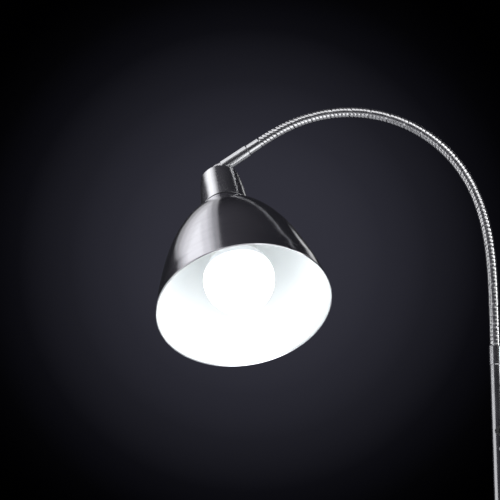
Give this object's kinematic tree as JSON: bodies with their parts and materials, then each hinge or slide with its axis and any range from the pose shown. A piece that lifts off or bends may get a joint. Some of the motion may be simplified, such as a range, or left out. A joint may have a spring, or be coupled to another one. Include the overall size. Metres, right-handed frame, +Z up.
{
  "type": "floor lamp",
  "caption": "Floor lamp with a weighted round base, thin pole with a push switch, ribbed gooseneck and a tilting bell shade over a round bulb.",
  "frame": {"origin": "on the floor, under the pole's axis, at the centre of the base", "axes": "+Z up the pole, the gooseneck arcs towards -X, the shade's mouth faces -Y and down"},
  "size_m": [0.4484, 0.3062, 1.4329],
  "materials": {
    "brushed_nickel": "brushed, nickel coloured",
    "nickel_tube": "satin nickel",
    "hose_metal": "satin nickel",
    "steel_fitting": "zinc plated",
    "black_plastic": "matt",
    "white_plastic": "matt",
    "brass_contact": "plain",
    "bulb_glass": "frosted",
    "bulb_metal": "plain",
    "bulb_insulator": "gloss",
    "iron_weight": "as cast",
    "foam_pad": "matt",
    "lead_jacket": "matt"
  },
  "bodies": {
    "stand": {"base_pad": "foam_pad", "base_weight": "iron_weight", "base_cover": "brushed_nickel", "cord_gland": "black_plastic", "base_washer": "steel_fitting", "base_nut": "steel_fitting", "base_stud": "steel_fitting", "foot_collar": "brushed_nickel", "pole_lower_tube": "nickel_tube", "pole_middle_tube": "nickel_tube", "pole_upper_tube": "nickel_tube", "lower_joiner": "steel_fitting", "upper_joiner": "steel_fitting", "pole_ferrule": "nickel_tube", "pole_lead": "lead_jacket", "switch_bush": "black_plastic", "switch_body": "black_plastic", "pole_screw": "steel_fitting", "gooseneck_link_01": "hose_metal"},
    "neck_02": {"gooseneck_link_02": "hose_metal"},
    "neck_03": {"gooseneck_link_03": "hose_metal"},
    "neck_04": {"gooseneck_link_04": "hose_metal"},
    "neck_05": {"gooseneck_link_05": "hose_metal"},
    "neck_06": {"gooseneck_link_06": "hose_metal"},
    "neck_07": {"gooseneck_link_07": "hose_metal"},
    "neck_08": {"gooseneck_link_08": "hose_metal"},
    "neck_09": {"gooseneck_link_09": "hose_metal"},
    "neck_10": {"gooseneck_link_10": "hose_metal"},
    "neck_11": {"gooseneck_link_11": "hose_metal"},
    "neck_12": {"gooseneck_link_12": "hose_metal"},
    "neck_13": {"gooseneck_link_13": "hose_metal"},
    "neck_14": {"gooseneck_link_14": "hose_metal"},
    "neck_15": {"gooseneck_link_15": "hose_metal"},
    "neck_16": {"gooseneck_link_16": "hose_metal"},
    "neck_17": {"gooseneck_link_17": "hose_metal"},
    "neck_18": {"gooseneck_link_18": "hose_metal"},
    "neck_19": {"gooseneck_link_19": "hose_metal"},
    "neck_20": {"gooseneck_link_20": "hose_metal"},
    "neck_21": {"gooseneck_link_21": "hose_metal", "head_ferrule": "nickel_tube"},
    "stem": {"head_sleeve": "nickel_tube", "knuckle_upper": "steel_fitting", "clamp_screw": "steel_fitting", "clamp_nut": "steel_fitting"},
    "head": {"knuckle_lower": "steel_fitting", "socket_cap": "brushed_nickel", "cap_spacer": "black_plastic", "shade": "brushed_nickel", "shade_ring": "white_plastic", "lampholder_body": "white_plastic", "lampholder_shell": "brass_contact", "lampholder_contact": "brass_contact", "cap_nipple": "steel_fitting", "nipple_nut": "steel_fitting", "bulb_globe": "bulb_glass", "bulb_housing": "white_plastic", "bulb_screw_cap": "bulb_metal", "bulb_tip": "bulb_insulator"},
    "button": {"switch_button": "black_plastic"}
  },
  "joints": [
    {"name": "gooseneck_sway_01", "type": "hinge", "parent": "stand", "child": "neck_02", "pos_m": [0, 0, 1.20016], "axis": [1, 0, 0], "range_deg": [-9, 9]},
    {"name": "gooseneck_sway_02", "type": "hinge", "parent": "neck_02", "child": "neck_03", "pos_m": [-0.00003, 0, 1.22033], "axis": [1, 0, 0], "range_deg": [-9, 9]},
    {"name": "gooseneck_sway_03", "type": "hinge", "parent": "neck_03", "child": "neck_04", "pos_m": [-0.00023, 0, 1.24049], "axis": [1, 0, 0], "range_deg": [-9, 9]},
    {"name": "gooseneck_bend_04", "type": "hinge", "parent": "neck_04", "child": "neck_05", "pos_m": [-0.0009, 0, 1.26065], "axis": [0, -1, 0], "range_deg": [-2.44, 0.54]},
    {"name": "gooseneck_bend_05", "type": "hinge", "parent": "neck_05", "child": "neck_06", "pos_m": [-0.00243, 0, 1.28075], "axis": [0, -1, 0], "range_deg": [-3.7, 0.83]},
    {"name": "gooseneck_bend_06", "type": "hinge", "parent": "neck_06", "child": "neck_07", "pos_m": [-0.00523, 0, 1.30072], "axis": [0, -1, 0], "range_deg": [-4.98, 1.11]},
    {"name": "gooseneck_bend_07", "type": "hinge", "parent": "neck_07", "child": "neck_08", "pos_m": [-0.00976, 0, 1.32036], "axis": [0, -1, 0], "range_deg": [-6.16, 1.36]},
    {"name": "gooseneck_bend_08", "type": "hinge", "parent": "neck_08", "child": "neck_09", "pos_m": [-0.01637, 0, 1.3394], "axis": [0, -1, 0], "range_deg": [-7.19, 1.6]},
    {"name": "gooseneck_bend_09", "type": "hinge", "parent": "neck_09", "child": "neck_10", "pos_m": [-0.02531, 0, 1.35745], "axis": [0, -1, 0], "range_deg": [-7.87, 1.75]},
    {"name": "gooseneck_bend_10", "type": "hinge", "parent": "neck_10", "child": "neck_11", "pos_m": [-0.03665, 0, 1.37411], "axis": [0, -1, 0], "range_deg": [-8.14, 1.79]},
    {"name": "gooseneck_bend_11", "type": "hinge", "parent": "neck_11", "child": "neck_12", "pos_m": [-0.05024, 0, 1.38899], "axis": [0, -1, 0], "range_deg": [-8.21, 1.82]},
    {"name": "gooseneck_bend_12", "type": "hinge", "parent": "neck_12", "child": "neck_13", "pos_m": [-0.0658, 0, 1.40178], "axis": [0, -1, 0], "range_deg": [-8.21, 1.82]},
    {"name": "gooseneck_bend_13", "type": "hinge", "parent": "neck_13", "child": "neck_14", "pos_m": [-0.08303, 0, 1.41222], "axis": [0, -1, 0], "range_deg": [-8.19, 1.8]},
    {"name": "gooseneck_bend_14", "type": "hinge", "parent": "neck_14", "child": "neck_15", "pos_m": [-0.10158, 0, 1.4201], "axis": [0, -1, 0], "range_deg": [-8.21, 1.82]},
    {"name": "gooseneck_bend_15", "type": "hinge", "parent": "neck_15", "child": "neck_16", "pos_m": [-0.12105, 0, 1.42526], "axis": [0, -1, 0], "range_deg": [-8.21, 1.82]},
    {"name": "gooseneck_bend_16", "type": "hinge", "parent": "neck_16", "child": "neck_17", "pos_m": [-0.14106, 0, 1.42759], "axis": [0, -1, 0], "range_deg": [-8.19, 1.8]},
    {"name": "gooseneck_bend_17", "type": "hinge", "parent": "neck_17", "child": "neck_18", "pos_m": [-0.1612, 0, 1.42705], "axis": [0, -1, 0], "range_deg": [-8.21, 1.82]},
    {"name": "gooseneck_bend_18", "type": "hinge", "parent": "neck_18", "child": "neck_19", "pos_m": [-0.18106, 0, 1.42364], "axis": [0, -1, 0], "range_deg": [-8.19, 1.82]},
    {"name": "gooseneck_bend_19", "type": "hinge", "parent": "neck_19", "child": "neck_20", "pos_m": [-0.20023, 0, 1.41744], "axis": [0, -1, 0], "range_deg": [-7.42, 1.63]},
    {"name": "gooseneck_bend_20", "type": "hinge", "parent": "neck_20", "child": "neck_21", "pos_m": [-0.21841, 0, 1.40874], "axis": [0, -1, 0], "range_deg": [-5.27, 1.18]},
    {"name": "stem_swivel", "type": "hinge", "parent": "neck_21", "child": "stem", "pos_m": [-0.25462, 0, 1.38638], "axis": [0.8434, 0, 0.5373], "range_deg": [-150, 150]},
    {"name": "shade_tilt", "type": "hinge", "parent": "stem", "child": "head", "pos_m": [-0.27993, 0, 1.37027], "axis": [-0.2903, -0.8415, 0.4556], "range_deg": [-88, 14]},
    {"name": "switch_press", "type": "slide", "parent": "stand", "child": "button", "axis": [-0.454, 0.891, 0], "range_m": [0, 0.0012], "stiffness_N_per_m": 800, "springref_m": -0.0015}
  ],
  "couplings": [
    {"joint": "gooseneck_sway_02", "follows": "gooseneck_sway_01", "ratio": 1},
    {"joint": "gooseneck_sway_03", "follows": "gooseneck_sway_01", "ratio": 1},
    {"joint": "gooseneck_bend_05", "follows": "gooseneck_bend_04", "ratio": 1.5107},
    {"joint": "gooseneck_bend_06", "follows": "gooseneck_bend_04", "ratio": 2.0373},
    {"joint": "gooseneck_bend_08", "follows": "gooseneck_bend_07", "ratio": 1.1627},
    {"joint": "gooseneck_bend_09", "follows": "gooseneck_bend_07", "ratio": 1.2738},
    {"joint": "gooseneck_bend_11", "follows": "gooseneck_bend_10", "ratio": 1.0057},
    {"joint": "gooseneck_bend_12", "follows": "gooseneck_bend_10", "ratio": 1.0057},
    {"joint": "gooseneck_bend_14", "follows": "gooseneck_bend_13", "ratio": 1},
    {"joint": "gooseneck_bend_15", "follows": "gooseneck_bend_13", "ratio": 1},
    {"joint": "gooseneck_bend_17", "follows": "gooseneck_bend_16", "ratio": 1},
    {"joint": "gooseneck_bend_18", "follows": "gooseneck_bend_16", "ratio": 0.99789},
    {"joint": "gooseneck_bend_20", "follows": "gooseneck_bend_19", "ratio": 0.70805}
  ]
}
